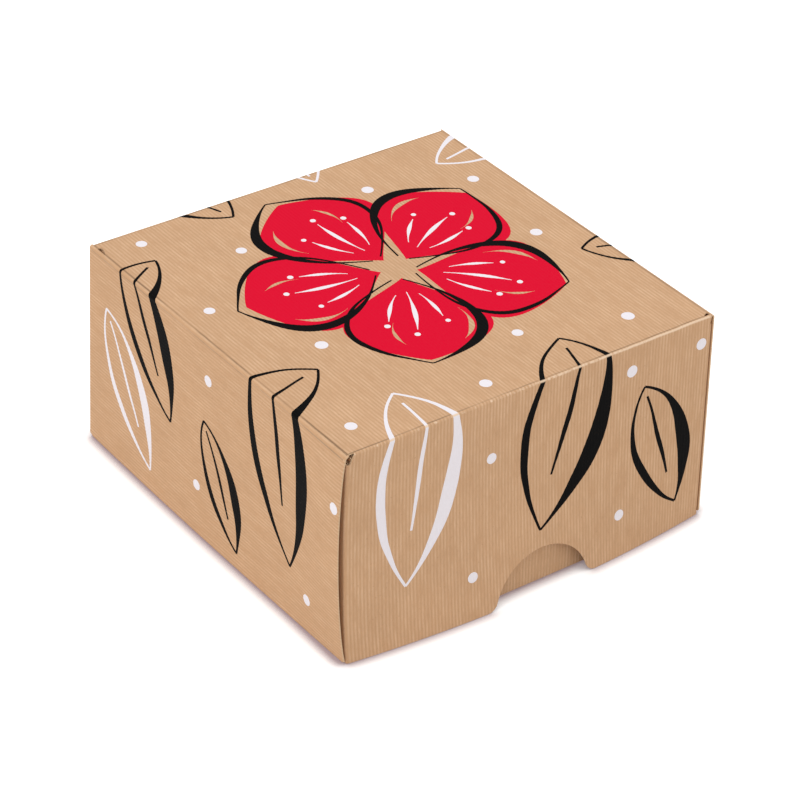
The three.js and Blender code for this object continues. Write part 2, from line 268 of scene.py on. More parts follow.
def makeSheetTree(foldTree, labels):
    tree, given, result = newTree("foldedSheet", {**geometry, "Float": labels, "Material": sheetFinishes})
    add = partial(addNode, tree)
    place = add("GeometryNodeInputPosition")
    kept = add("GeometryNodeStoreNamedAttribute", {"Geometry": given["Geometry"], "Name": "blank",
               "Value": place}, data_type="FLOAT_VECTOR", domain="POINT")
    flat = add("SeparateXYZ", [place]).outputs

    # ribs stand on the outer face only
    phase = add("Math", [flat[0], given["Rib Pitch"]], "DIVIDE")
    phase = add("Math", [phase, 2 * math.pi], "MULTIPLY")
    wave = add("Math", [phase], "COSINE")
    wave = add("Math", [wave, given["Rib Height"]], "MULTIPLY")
    outer = add("Math", [flat[2], -boardSizes["faceDepth"] * mm], "GREATER_THAN")
    height = add("Math", [wave, outer, flat[2]], "MULTIPLY_ADD")

    # scored lines, pressed into the whole board
    for across, line, along, endLine in ((0, "Side", 1, "End"), (1, "End", 0, "Side")):
        far = add("Math", [flat[across]], "ABSOLUTE")
        dip = bell(tree, far, given[line + " Crease"], given["Groove Width"])
        dip = add("Math", [dip, given[line + " Groove"]], "MULTIPLY")
        end = add("Math", [flat[along]], "ABSOLUTE")
        end = add("Math", [end, given[endLine + " Crease"]], "SUBTRACT")
        within = add("Math", [end, boardSizes["grooveOverrun"] * mm], "LESS_THAN")
        dip = add("Math", [dip, within], "MULTIPLY")
        height = add("Math", [height, dip], "SUBTRACT")

    # turn the blank so that this wall lies towards +X
    point = add("CombineXYZ", [flat[0], flat[1], height])
    back = add("Math", [given["Turn"], -1.0], "MULTIPLY")
    point = add("VectorRotate", {"Vector": point, "Angle": back}, rotation_type="Z_AXIS")
    x, y, z = add("SeparateXYZ", [point]).outputs

    # fold the tab, the rolled rim and the wall, in that order
    side = add("Math", [y], "SIGN")
    along = add("Math", [y], "ABSOLUTE")
    crease = {"Radius": given["Crease Radius"], "Board": given["Board"]}
    tab = add("GeometryNodeGroup", {**crease, "Across": along, "Height": z,
              "Start": given["Corner Fold"], "Angle": given["Corner Angle"]}, node_tree=foldTree).outputs
    rim = add("GeometryNodeGroup", {**crease, "Across": x, "Height": tab["Height"],
              "Start": given["Rim Start"], "Radius": given["Rim Radius"], "Angle": math.pi},
              node_tree=foldTree).outputs
    wall = add("GeometryNodeGroup", {**crease, "Across": rim["Across"], "Height": rim["Height"],
               "Start": given["Crease Start"], "Angle": math.pi / 2}, node_tree=foldTree).outputs

    # the skirt springs out along its free edge, and a ply's end springs off its tab
    down = add("Math", [wall["Height"], given["Wall Height"]], "DIVIDE")
    down = add("Math", [down, -1.0], "MULTIPLY")
    squared = add("Math", [down, down], "MULTIPLY")
    moved = {"Bow": wall["Across"], "Tab Bow": tab["Across"]}
    for bow, where in (("Bow", tab["Across"]), ("Tab Bow", wall["Across"])):
        share = add("Math", [where, given[bow + " Half Length"]], "DIVIDE")
        share = add("Math", [share, share], "MULTIPLY")
        share = add("Math", [1.0, share], "SUBTRACT")
        share = add("Math", [share, 0.0], "MAXIMUM")
        share = add("Math", [share, squared], "MULTIPLY")
        moved[bow] = add("Math", [share, given[bow], moved[bow]], "MULTIPLY_ADD")
    out = moved["Bow"]
    sideways = add("Math", [moved["Tab Bow"], side], "MULTIPLY")
    near = bell(tree, sideways, given["Spring Place"], given["Spring Reach"])
    arch = add("Math", [down, math.pi], "MULTIPLY")
    arch = add("Math", [arch], "SINE")
    for operation, value in (("MAXIMUM", 0.0), ("POWER", boardSizes["springPower"]), ("MULTIPLY", near)):
        arch = add("Math", [arch, value], operation)
    beyond = bell(tree, out, given["Tab Bow Half Length"], given["Spring Reach"])
    beyond = add("Math", [beyond, arch], "MULTIPLY")
    out = add("Math", [arch, given["Spring"], out], "MULTIPLY_ADD")
    sideways = add("Math", [beyond, given["Sway"], sideways], "MULTIPLY_ADD")

    # back to its own side, flared towards the foot, and up to its level
    point = add("CombineXYZ", [out, sideways, wall["Height"]])
    point = add("VectorRotate", {"Vector": point, "Angle": given["Turn"]}, rotation_type="Z_AXIS")
    widened = add("Math", [down, given["Flare"], 1.0], "MULTIPLY_ADD")
    widened = add("CombineXYZ", [1.0, widened, 1.0])
    point = add("VectorMath", [point, widened], "MULTIPLY")
    over = add("Math", [given["Turned Over"], math.pi], "MULTIPLY")
    point = add("VectorRotate", {"Vector": point, "Angle": over}, rotation_type="X_AXIS")
    raised = add("CombineXYZ", {2: given["Level"]})
    point = add("VectorMath", [point, raised], "ADD")
    folded = add("GeometryNodeSetPosition", {"Geometry": kept, "Position": point})
    endTree(tree, folded, result, [given[label] for label in sheetFinishes])
    return tree


sheetTree = makeSheetTree(makeFoldTree(), list(foldValues(halves["lid"], 0)))


# A flat panel is cut along its ribs, creases and rows, so that it can fold and bow
def evenSteps(length, count):
    return [length * i / count for i in range(count + 1)]


def cutLines(half):
    m = meshSizes
    creases = [*m["grooveLines"], *evenSteps(half["creaseLength"], m["creaseSteps"])]
    columns = [half["foldX"] + step for step in creases]
    columns += [half["rimStart"] + step for step in evenSteps(half["rimLength"], m["rimSteps"])]
    columns += [half["cornerFold"] + step for step in creases if step >= 0]
    rows = [half["foldY"] + step for step in creases]
    wallStart, wall = rows[-1], half["endEdge"] - rows[-1]
    rows += [wallStart + step for step in evenSteps(wall, round(wall / m["rowSpacing"]))[1:-1]]
    rows += evenSteps(half["foldY"], round(half["foldY"] / m["rowSpacing"]))[:-1]
    columns = sorted({side * column for column in columns for side in (-1, 1)})
    rows = sorted({side * row for row in rows for side in (-1, 1)})
    quarter = boardSizes["ribPitch"] / m["ribQuarters"]
    count = int(half["innerEnd"] / quarter) + 1
    ribs = [i * quarter for i in range(-count, count + 1)]
    ribs = [rib for rib in ribs if all(abs(rib - column) > m["ribClear"] for column in columns)]
    return sorted(columns + ribs), rows


for half in halves.values():
    half["columns"], half["rows"] = cutLines(half)


def leftTurning(ring):
    area = sum(a[0] * b[1] - b[0] * a[1] for a, b in zip(ring, ring[1:] + ring[:1]))
    return ring if area > 0 else ring[::-1]


def cutCells(loops, half, holes, within):
    # what the loops cover, less the holes and only in the box where one is given, cut up by the lines
    rings = [leftTurning(ring) for ring in (*loops, *holes, *([within] if within else []))]
    points = [Vector(point) for ring in rings for point in ring]
    faces, first = [], 0
    for ring in rings:
        faces.append(list(range(first, first + len(ring))))
        first += len(ring)
    extent = within or points
    low = [min(point[i] for point in extent) for i in (0, 1)]
    high = [max(point[i] for point in extent) for i in (0, 1)]
    edges, margin = [], meshSizes["margin"]
    for i, lines in ((0, half["columns"]), (1, half["rows"])):
        for line in lines:
            if low[i] < line < high[i]:
                edges.append((len(points), len(points) + 1))
                for end in (low[1 - i] - margin, high[1 - i] + margin):
                    points.append(Vector((end, line) if i else (line, end)))
    cut = delaunay_2d_cdt(points, edges, faces, meshSizes["wholeFaces"], meshSizes["nearest"])
    spots, _, cells, _, _, owners = cut
    solids, bored = set(range(len(loops))), set(range(len(loops), len(loops) + len(holes)))
    outer = {len(rings) - 1} if within else set()
    cells = [cell for cell, owner in zip(cells, map(set, owners))
             if owner & solids and not owner & bored and outer <= owner]
    used = sorted({i for cell in cells for i in cell})
    number = {i: k for k, i in enumerate(used)}
    return [spots[i] for i in used], [[number[i] for i in cell] for cell in cells]


def cutFlat(name, loops, half, top, bottom, holes=(), within=None):
    spots, cells = cutCells(loops, half, holes, within)
    count = len(spots)

    # an edge that no second cell runs back along is a cut one
    cutEdges = {}
    for cell in cells:
        for a, b in zip(cell, cell[1:] + cell[:1]):
            if (b, a) in cutEdges:
                del cutEdges[(b, a)]
            else:
                cutEdges[(a, b)] = True
    corners = [(spot.x * mm, spot.y * mm, level * mm) for level in (top, bottom) for spot in spots]
    sides = [(a, a + count, b + count, b) for a, b in cutEdges]
    backs = [[i + count for i in reversed(cell)] for cell in cells]
    mesh = bpy.data.meshes.new(name)
    mesh.from_pydata(corners, [], cells + backs + sides)
    finish = mesh.attributes.new("finish", "INT", "FACE")  # 0 on the face, 1 on the back, 2 on the cut
    finish.data.foreach_set("value", [0] * len(cells) + [1] * len(backs) + [2] * len(sides))
    mesh.polygons.foreach_set("use_smooth", [True] * len(mesh.polygons))
    sharp = {tuple(sorted(pair)) for a, b in cutEdges for pair in ((a, b), (a + count, b + count))}
    for edge in mesh.edges:
        edge.use_edge_sharp = tuple(sorted(edge.vertices)) in sharp
    return mesh


def addPiece(name, mesh, half, replaced=None):
    mesh.name = name
    piece = newObject(name, mesh)
    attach(piece, half["body"])
    if replaced:
        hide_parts(replaced)
    return piece


def foldMesh(flat, half, turn, finishes, **extra):
    values = {**foldValues(half, turn, **extra), **dict(zip(sheetFinishes, finishes))}
    mesh = shapedMesh(flat, sheetTree, values)
    bpy.data.meshes.remove(flat)
    return mesh


def foldPiece(node, outline, half, turn, **extra):
    name = node + "_sheet"
    flat = cutFlat(name, [outline], half, 0.0, -boardSizes["board"])
    addPiece(name, foldMesh(flat, half, turn, half["finishes"], **extra), half, node)


# Finishes
def lineAlong(tree, place, middle, halfWidth, soft):
    # 1 on a line across this coordinate, down to 0 past its soft edge
    off = addNode(tree, "Math", [place, middle * mm], "SUBTRACT")
    off = addNode(tree, "Math", [off], "ABSOLUTE")
    return addNode(tree, "MapRange", [off, halfWidth * mm, (halfWidth + soft) * mm, 1.0, 0.0])


creaseLook = {
    "scoreShade": (-0.2, 0.12, 0.3, 0.5),  # painted shade of the scored groove by a side crease's start: where, half width, soft edge, how dark
    "secondScoreShade": (0.35, 0.1, 0.3, 0.32),  # painted groove shade past its end
    "crossScoreShade": (-0.1, 0.1, 0.25, 0.45),  # painted groove shade by the start of a crease across the ribs
    "crackLine": (0.12, 0.3),  # half width and soft edge
    "crack": 0.9, "crackColour": 0xF3D6B8,
    "crackSize": 2.2,  # length of a pale fleck
    "crackNoise": (0.46, 0.62),  # from this much noise on a fleck shows, and from that much on in full
    "crackReach": (-30.0, 60.0), "crackShift": (-0.08, 0.2),  # more noise, and so more cracks, to the right
    "waver": 0.3, "waverSize": 7.0,  # a line strays this much in this length
    "patchSize": 26.0, "patchNoise": (0.4, 0.6), "faintest": 0.35,
}


def creaseShadeAndCracks(tree, blank, half, look):
    # the scored grooves get painted shade, fine dark lines along them; folded across the ribs, the board and
    # its ink also crack pale
    add = partial(addNode, tree)
    x, y, _ = add("SeparateXYZ", [blank]).outputs
    waver = add("TexNoise", {"Vector": blank, "Scale": 1 / (look["waverSize"] * mm), "Detail": 1.0})
    waver = add("Math", [waver, 0.5], "SUBTRACT")
    far = []
    for place in (x, y):
        place = add("Math", [place], "ABSOLUTE")
        far.append(add("Math", [waver, look["waver"] * mm, place], "MULTIPLY_ADD"))
    onSides = add("Math", [far[1], half["foldY"] * mm], "LESS_THAN")
    onEnds = add("Math", [far[0], half["foldX"] * mm], "LESS_THAN")
    patchy = add("TexNoise", {"Vector": blank, "Scale": 1 / (look["patchSize"] * mm), "Detail": 2.0})
    patchy = add("MapRange", [patchy, *look["patchNoise"], look["faintest"]])
    paintedGrooveShade = 0.0
    # each scored groove gets a fine line of painted shade
    for place, crease, scoreShade, where in (
        (far[0], half["foldX"], "scoreShade", onSides),
        (far[0], half["foldX"] + half["creaseLength"], "secondScoreShade", onSides),
        (far[1], half["foldY"], "crossScoreShade", onEnds),
    ):
        past, halfWidth, soft, amount = look[scoreShade]
        line = lineAlong(tree, place, crease + past, halfWidth, soft)
        for share in (where, patchy, amount):
            line = add("Math", [line, share], "MULTIPLY")
        paintedGrooveShade = add("Math", [paintedGrooveShade, line], "MAXIMUM")
    fleck = add("TexNoise", {"Vector": blank, "Scale": 1 / (look["crackSize"] * mm),
                "Detail": 3.0, "Roughness": 0.7})
    left, right = look["crackReach"]
    more = add("MapRange", [x, left * mm, right * mm, *look["crackShift"]])
    fleck = add("Math", [fleck, more], "ADD")
    fleck = add("MapRange", [fleck, *look["crackNoise"], 0.0, look["crack"]])
    pale = lineAlong(tree, far[1], half["foldY"] + half["creaseLength"] / 2, *look["crackLine"])
    pale = add("Math", [pale, onEnds], "MULTIPLY")
    return paintedGrooveShade, add("Math", [pale, fleck], "MULTIPLY"), pale


def newMaterial(name, look):
    material = bpy.data.materials.new(name)
    material.use_nodes = True
    tree = material.node_tree
    shader = tree.nodes["Principled BSDF"]
    shader.inputs["Roughness"].default_value = look["roughness"]
    shader.inputs["Specular IOR Level"].default_value = look["specular"]
    blank = addNode(tree, "Attribute", attribute_name="blank").outputs["Vector"]
    return material, tree, shader, blank


def makeKraft(name, look, half=None):
    # ribbed or plain kraft paperboard: uncoated long brown fibres, rolled into fine ribs, quite matt
    material, tree, shader, blank = newMaterial(name, look)
    add = partial(addNode, tree)
    drift = add("TexNoise", {"Vector": blank, "Scale": 1 / (look["driftSize"] * mm), "Detail": 2.0})
    x = add("SeparateXYZ", [blank])
    x = add("Math", [drift, look["ribWander"] * mm, x], "MULTIPLY_ADD")
    phase = add("Math", [x, 2 * math.pi / (boardSizes["ribPitch"] * mm)], "MULTIPLY")
    rib = add("Math", [phase], "COSINE")
    rib = add("MapRange", [rib, -1.0, 1.0])

    # each rib is stronger and weaker along its length, and long fibres lie along it
    stretched = []
    for across, along in (look["patchSize"], look["fibreSize"]):
        stretch = (1 / (across * mm), 1 / (along * mm), 0.0)
        stretched.append(add("Mapping", {"Vector": blank, "Scale": stretch}))
    patches = add("TexNoise", {"Vector": stretched[0], "Scale": 1.0, "Detail": 3.0, "Roughness": 0.65})
    strength = add("MapRange", [patches, *look["patchNoise"], look["faintest"]])
    ribbed = add("Math", [rib, strength], "MULTIPLY")
    ribbed = add("Math", [ribbed, look["ribContrast"]], "MULTIPLY")
    fibres = add("TexNoise", {"Vector": stretched[1], "Scale": 1.0, "Detail": 5.0,
                 "Roughness": 0.7, "Distortion": 0.6})
    clouds = add("TexNoise", {"Vector": blank, "Scale": 1 / (look["cloudSize"] * mm), "Detail": 3.0})
    flecks = add("TexNoise", {"Vector": blank, "Scale": 1 / (look["fleckSize"] * mm), "Detail": 1.0})
    fleck = add("MapRange", [flecks, *look["fleckNoise"], 0.0, look["fleck"]])

    # crests painted lighter and valleys darker: painted highlight and shade of the ribs' relief, over the
    # small geometric ribs
    colour = add("Mix", {0: ribbed, 6: linearColour(look["valley"]),
                 7: linearColour(look["crest"])}, data_type="RGBA")
    shades = []
    for noise, amount in ((fibres, look["grain"]), (clouds, look["cloud"])):
        shades.append(add("MapRange", [noise, *look["shadeNoise"], 1 - amount, 1 + amount]))
    shade = add("Math", shades, "MULTIPLY")
    colour = add("VectorMath", {0: colour.outputs[2], "Scale": shade}, "SCALE")
    colour = add("Mix", {0: fleck, 6: colour.outputs[0], 7: linearColour(look["fleckColour"])},
                 data_type="RGBA")
    if half:
        # painted shade along the scored grooves darkens the colour, and pale cracks lighten it
        paintedGrooveShade, pale, _ = creaseShadeAndCracks(tree, blank, half, creaseLook)
        light = add("Math", [1.0, paintedGrooveShade], "SUBTRACT")
        colour = add("VectorMath", {0: colour.outputs[2], "Scale": light}, "SCALE")
        colour = add("Mix", {0: pale, 6: colour.outputs[0],
                     7: linearColour(creaseLook["crackColour"])}, data_type="RGBA")
    tree.links.new(colour.outputs[2], shader.inputs["Base Color"])
    bump = add("Bump", {"Strength": look["bump"], "Distance": look["bumpHeight"] * mm, "Height": fibres})
    tree.links.new(bump.outputs[0], shader.inputs["Normal"])
    return material


# valley and crest colours carry the ribs' painted shade and highlight
ribbedLook = {
    "valley": 0xCCA17A, "crest": 0xE5BF9B, "ribContrast": 0.75, "ribWander": 0.35, "driftSize": 9.0,
    "patchSize": (3.0, 12.0), "patchNoise": (0.32, 0.66), "faintest": 0.15,  # sizes across and along the ribs
    "fibreSize": (0.35, 2.6),  # single fibres are finer: this is as coarse as they need to show
    "grain": 0.06, "cloud": 0.025, "cloudSize": 22.0, "shadeNoise": (0.3, 0.7),
    "fleck": 0.25, "fleckSize": 0.8, "fleckNoise": (0.68, 0.76), "fleckColour": 0x9A6D48,
    "roughness": 0.82, "specular": 0.25, "bump": 0.5, "bumpHeight": 0.02,
}
plainLook = dict(ribbedLook, valley=0xC9A07A, crest=0xC9A07A, grain=0.05, fleck=0.3)
edgeLook = dict(ribbedLook, valley=0xD9B792, crest=0xE2C4A2, grain=0.08, fleck=0.1)
plainKraft = makeKraft("plain_kraft_back", plainLook)
cutKraft = makeKraft("die_cut_kraft_edge", edgeLook)
for name, half in halves.items():
    half["finishes"] = (makeKraft(f"ribbed_kraft_{name}_board", ribbedLook, half), plainKraft, cutKraft)


# Outlines, drawn with the wall towards +X
def turned(points, turn):
    for _ in range(turn):
        points = [(-y, x) for x, y in points]
    return points


def curve(start, control, end, steps=6):
    ts = [i / steps for i in range(steps + 1)]
    return [tuple((1 - t) ** 2 * a + 2 * t * (1 - t) * b + t * t * c for a, b, c in zip(start, control, end))
            for t in ts]


def arc(centre, radius, start, end, steps):
    angles = [start + (end - start) * i / steps for i in range(steps + 1)]
    return [(centre[0] + radius * math.cos(a), centre[1] + radius * math.sin(a)) for a in angles]


def panelOutline(half):
    x, y = half["foldX"], half["foldY"]
    if "panelNick" not in half:
        return [(-x, -y), (x, -y), (x, y), (-x, y)]
    length, width, behind = half["panelNick"]
    widestAt, keeps = half["panelNickShape"]
    rear, front = y - behind, y - behind - length
    widest = (-x + width, rear - length * widestAt)
    nick = curve((-x, rear), (-x + width, rear), widest)
    nick += curve(widest, (-x + width * keeps, front), (-x, front))[1:]
    along, inward = half["cornerNick"]
    corner = curve((x - along, -y), (x - along / 2, -y + inward), (x, -y + inward))
    return [(-x, -y)] + corner + [(x, y), (-x, y)] + nick


def outerPlyOutline(half):
    y, r = half["halfDepth"], boardSizes["plyCornerRadius"]
    near, far = half["foldX"], half["rimStart"]
    return ([(near, -y)] + curve((far - r, -y), (far, -y), (far, -y + r))
            + curve((far, y - r), (far, y), (far - r, y)) + [(near, y)])


def strip(near, far, halfLength):
    return [(near, -halfLength), (far, -halfLength), (far, halfLength), (near, halfLength)]


def innerPlyOutline(half):
    near, far, y = half["innerStart"], half["innerEnd"], half["innerHalf"]
    if "innerPlyClip" not in half:
        return strip(near, far, y)
    down, along = half["innerPlyClip"]
    return [(near, -y), (far - down, -y), (far, -y + along), (far, y - along), (far - down, y), (near, y)]


# The ends of a wall where the board has closed its relief up
closedNicks = {"lid_back_wall": (-1, 1), "lid_front_wall": (1,)}


def endWallOutline(half, closed):
    s = boardSizes
    near, far, fold = half["foldY"], half["endEdge"], half["cornerFold"]
    firstIn, lastIn = [half["halfWidth"] - s["closedNick" if side in closed else "wallNickWidth"]
                       for side in (-1, 1)]
    nickDown = near + half["creaseLength"] + s["wallNickHeight"]
    outline = [(near, -firstIn), (nickDown, -fold), (far, -fold)]
    if "notchWidth" in half:
        width, height, shoulder = half["notchWidth"] / 2, half["notchHeight"], half["notchShoulder"]
        middle, steps = half["notchShift"], meshSizes["shoulderSteps"]
        radius = (width ** 2 + height ** 2) / (2 * height)
        centre = far - height + radius
        away = centre - (far - shoulder)
        reach = math.sqrt((radius + shoulder) ** 2 - away ** 2)
        meet = math.atan2(reach, away)
        outline += arc((far - shoulder, middle - reach), shoulder, 0.0, meet, steps)[:-1]
        outline += arc((centre, middle), radius, math.pi + meet, math.pi - meet, meshSizes["notchSteps"])
        outline += arc((far - shoulder, middle + reach), shoulder, -meet, 0.0, steps)[1:]
    return outline + [(far, fold), (nickDown, fold), (near, lastIn)]


def tabOutline(half, side):
    # heights run down from the panel
    s = boardSizes
    base = half["foldY"] + half["creaseLength"] - s["creaseRadius"]
    start = half["cornerFold"]
    arcEnd, end = start + half["creaseLength"], half["tabEnd"]
    nick = s["creaseRadius"] + s["wallNickHeight"]
    near = s["board"] + s["tabEdgeGap"]
    far = half["wallHeight"] - s["rimRadius"] - s["tabEdgeGap"]
    taper, r = s["tabTaper"], s["tabCornerRadius"]
    points = [(nick, start), (nick, arcEnd), (near, arcEnd + nick)]
    points += curve((near + taper, end - r), (near + taper, end), (near + taper + r, end))
    points += curve((far - taper - r, end), (far - taper, end), (far - taper, end - r))
    points += [(far, arcEnd), (half["endWallHeight"], arcEnd), (half["endWallHeight"], start)]
    return [(base + height, side * place) for height, place in points]


# The lid's front left corner has sprung a little: its outer ply stands off the tab behind it
cornerSpring = {
    2: {"Spring": 3.3, "Spring Place": 75.0, "Spring Reach": 22.0},  # on the left wall
    3: {"Sway": -1.2, "Spring Place": -75.0, "Spring Reach": 22.0},  # on the front wall and its tabs
}

# The folded panels of both halves
for name, half in halves.items():
    springs = cornerSpring if name == "lid" else {}
    foldPiece(half["panel"], panelOutline(half), half, 0, Bow=0.0)
    for turn, word in ((0, "right"), (2, "left")):
        spring = springs.get(turn, {})
        for piece, outline, moves in (
            ("outer_wall", outerPlyOutline(half), spring),
            ("rim", strip(half["rimStart"], half["innerStart"], half["innerHalf"]), spring),
            ("inner_wall", innerPlyOutline(half), {}),
        ):
            foldPiece(f"{name}_{word}_{piece}", turned(outline, turn), half, turn, **moves)
    for turn, word in zip((1, 3) if half["turnedOver"] else (3, 1), ("front", "back")):
        node = f"{name}_{word}_wall"
        sway = springs.get(turn, {})
        outline = endWallOutline(half, closedNicks.get(node, ()))
        foldPiece(node, turned(outline, turn), half, turn, **sway)
        for side in (-1, 1):
            outline = turned(tabOutline(half, side), turn)
            hand = "right" if outline[0][0] > 0 else "left"
            foldPiece(f"{name}_{word}_{hand}_tab", outline, half, turn, cornerAngle=math.pi / 2,
                      **{"Tab Bow": half["sideBow"]}, **sway)
    print(name, "folded")


# The print on the lid: a blossom on the top, leaves running over the creases, and dots
def makeStrokeTree():
    tree, given, result = newTree("brushStroke", {
        **geometry, "Int": ["Points"], "Float": ["Thin", "Swell", "Wobble", "Wobble Size"],
        "Material": ["Ink"],
    })
    add = partial(addNode, tree)
    path = add("GeometryNodeResampleCurve", {"Curve": given["Geometry"], "Count": given["Points"]})
    place = add("GeometryNodeInputPosition")
    scale = add("Math", [1.0, given["Wobble Size"]], "DIVIDE")
    noise = add("TexNoise", {"Vector": place, "Scale": scale, "Detail": 1.0})
    drift = add("VectorMath", [noise.outputs["Color"], (0.5, 0.5, 0.0)], "SUBTRACT")
    drift = add("VectorMath", [drift, (1.0, 1.0, 0.0)], "MULTIPLY")
    drift = add("VectorMath", {0: drift, "Scale": given["Wobble"]}, "SCALE")
    path = add("GeometryNodeSetPosition", {"Geometry": path, "Offset": drift})
    along = add("GeometryNodeSplineParameter")
    swell = add("Math", [along, given["Swell"]], "POWER")
    swell = add("Math", [swell, math.pi], "MULTIPLY")
    swell = add("Math", [swell], "SINE")
    thick = add("GeometryNodeInputRadius")
    more = add("Math", [thick, given["Thin"]], "SUBTRACT")
    width = add("Math", [swell, more, given["Thin"]], "MULTIPLY_ADD")
    path = add("GeometryNodeSetCurveNormal", {"Curve": path}, mode="Z_UP")
    path = add("GeometryNodeSetCurveRadius", {"Curve": path, "Radius": width})
    across = add("GeometryNodeCurvePrimitiveLine", {"Start": (-1.0, 0.0, 0.0), "End": (1.0, 0.0, 0.0)})
    ribbon = add("GeometryNodeCurveToMesh", {"Curve": path, "Profile Curve": across, "Scale": width})
    endTree(tree, ribbon, result, [given["Ink"]])
    return tree


def makeRingTree():
    tree, given, result = newTree("ringOfShapes", {
        **geometry, "Int": ["Count"], "Float": ["Start Angle"], "Vector": ["Centre"], "Material": ["Ink"],
    })
    add = partial(addNode, tree)
    points = add("GeometryNodePoints", {"Count": given["Count"], "Position": given["Centre"]})
    number = add("GeometryNodeInputIndex")
    share = add("Math", [number, given["Count"]], "DIVIDE")
    angle = add("Math", [share, 2 * math.pi, given["Start Angle"]], "MULTIPLY_ADD")
    spin = add("CombineXYZ", {2: angle})
    spin = add("FunctionNodeEulerToRotation", [spin])
    shapes = add("GeometryNodeInstanceOnPoints", {"Points": points, "Instance": given["Geometry"],
                 "Rotation": spin})
    endTree(tree, shapes, result, [given["Ink"]])
    return tree


def makeDotTree():
    tree, given, result = newTree("dots", {
        **geometry, "Int": ["Sides", "Seed"], "Float": ["Radius", "Uneven"], "Material": ["Ink"],
    })
    add = partial(addNode, tree)
    disc = add("GeometryNodeMeshCircle", {"Vertices": given["Sides"], "Radius": given["Radius"]},
               fill_type="NGON")
    low = add("Math", [1.0, given["Uneven"]], "SUBTRACT")
    high = add("Math", [1.0, given["Uneven"]], "ADD")
    size = add("FunctionNodeRandomValue", {2: low, 3: high, 8: given["Seed"]}, data_type="FLOAT")
    size = add("CombineXYZ", [size.outputs[1], size.outputs[1], 1.0])
    dots = add("GeometryNodeInstanceOnPoints", {"Points": given["Geometry"], "Instance": disc,
               "Scale": size})
    endTree(tree, dots, result, [given["Ink"]])
    return tree


strokeTree, ringTree, dotTree = makeStrokeTree(), makeRingTree(), makeDotTree()


def faceLoops(mesh):
    spots = [(v.co.x / mm, v.co.y / mm) for v in mesh.vertices]
    return [[spots[i] for i in face.vertices] for face in mesh.polygons]


def strokeLoops(strokes, look):
    data = bpy.data.curves.new("strokes", "CURVE")
    data.dimensions = "3D"
    for start, startPull, endPull, end, thickness in strokes:
        spline = data.splines.new("BEZIER")
        spline.resolution_u = look["resolution"]
        spline.bezier_points.add(1)
        for knot, place, pull in zip(spline.bezier_points, (start, end), (startPull, endPull)):
            knot.co = (place[0] * mm, place[1] * mm, 0.0)
            knot.handle_left_type = knot.handle_right_type = "FREE"
            knot.handle_left = knot.handle_right = (pull[0] * mm, pull[1] * mm, 0.0)
            knot.radius = thickness / 2 * mm
    mesh = shapedMesh(data, strokeTree, {
        "Points": look["points"], "Thin": look["thin"] / 2 * mm, "Swell": look["swell"],
        "Wobble": look["wobble"] * mm, "Wobble Size": look["wobbleSize"] * mm,
    })
    spots = [(v.co.x / mm, v.co.y / mm) for v in mesh.vertices]
    each = 2 * look["points"]
    pieces = [spots[i:i + each] for i in range(0, len(spots), each)]
    return [piece[0::2] + piece[1::2][::-1] for piece in pieces]


brush = {"resolution": 48, "points": 44, "thin": 0.9, "swell": 1.3, "wobble": 2.2, "wobbleSize": 24.0}
leafShape = {
    "bulge": 0.62,  # of its width
    "pulls": ((0.22, 1.0), (0.72, 0.86)),  # the sides' handles: along the leaf, and out
    "vein": ((0.08, 0.0), (0.3, 0.07), (0.5, 0.02), (0.74, -0.02)), "veinLine": 0.3,
}
leaves = {  # base, tip, width, line, and how fine the second side is
    "black": [
        ((-54, -30), (-133, -46), 33, 7, 0.5),
        ((-62, 54), (-118, 24), 24, 6.2, 0.45),
        ((-106, 4), (-147, -16), 18, 4.8, 0.5),
        ((22, -58), (2, -130), 37, 7.2, 0.45),
        ((46, -92), (62, -143), 24, 6, 0.5),
        ((64, -18), (126, -44), 30, 6.6, 0.5),
        ((98, 40), (143, 22), 22, 5.4, 0.5),
        ((-24, 64), (-44, 128), 32, 6.8, 0.5),
        ((40, 96), (58, 142), 22, 5.4, 0.5),
    ],
    "white": [
        ((-94, 64), (-145, 36), 21, 4.6, 0.55),
        ((-42, -54), (-52, -131), 33, 5.8, 0.6),
        ((58, 56), (118, 66), 24, 4.8, 0.55),
        ((14, 68), (20, 124), 20, 4.8, 0.55),
    ],
}


def leafStrokes(leaf, shape):
    # two bent sides, the second one finer, and a vein between them
    base, tip, width, line, fine = leaf
    base, tip = Vector(base), Vector(tip)
    run = tip - base
    out = Vector((-run.y, run.x)).normalized() * width * shape["bulge"]
    strokes = []
    for side, thickness in ((1, line), (-1, line * fine)):
        pulls = [base + run * along + out * side * share for along, share in shape["pulls"]]
        strokes.append((base, *pulls, tip, thickness))
    vein = [base + run * along + out * bend for along, bend in shape["vein"]]
    strokes.append((*vein, line * shape["veinLine"]))
    return strokes


